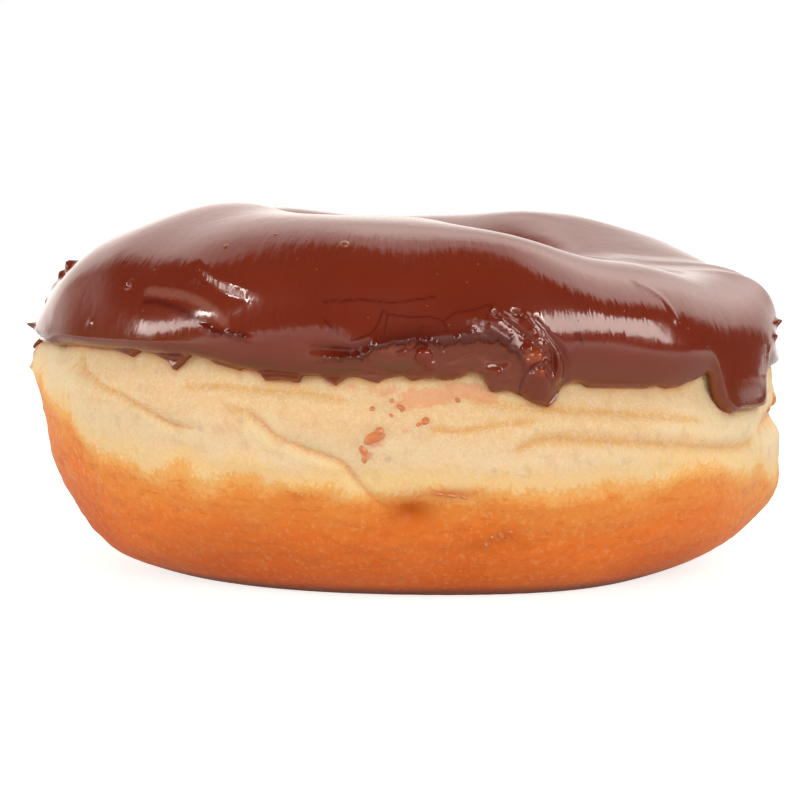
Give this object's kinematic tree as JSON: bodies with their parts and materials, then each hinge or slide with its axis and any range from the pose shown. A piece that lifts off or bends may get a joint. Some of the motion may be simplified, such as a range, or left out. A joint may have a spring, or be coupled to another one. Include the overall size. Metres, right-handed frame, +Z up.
{
  "type": "chocolate glazed ring doughnut",
  "caption": "Plump raised ring doughnut that rests flat, with a pale band round its middle and a thick glossy chocolate glaze that has run over the top and into the hole.",
  "frame": {"origin": "on the table under the middle of the doughnut's bounding box", "axes": "+Z up along the ring's axis; -Y towards the front, the side where the glaze was touched; +X to the right seen from the front"},
  "size_m": [0.1002, 0.0968, 0.0477],
  "materials": {
    "dough": "soft fried dough: orange-brown crust below, cream-coloured fibrous band above it",
    "glaze": "glossy dark red-brown chocolate glaze, set, with wet highlights"
  },
  "bodies": {
    "root": {"dough": "dough", "glaze": "glaze"}
  },
  "joints": []
}
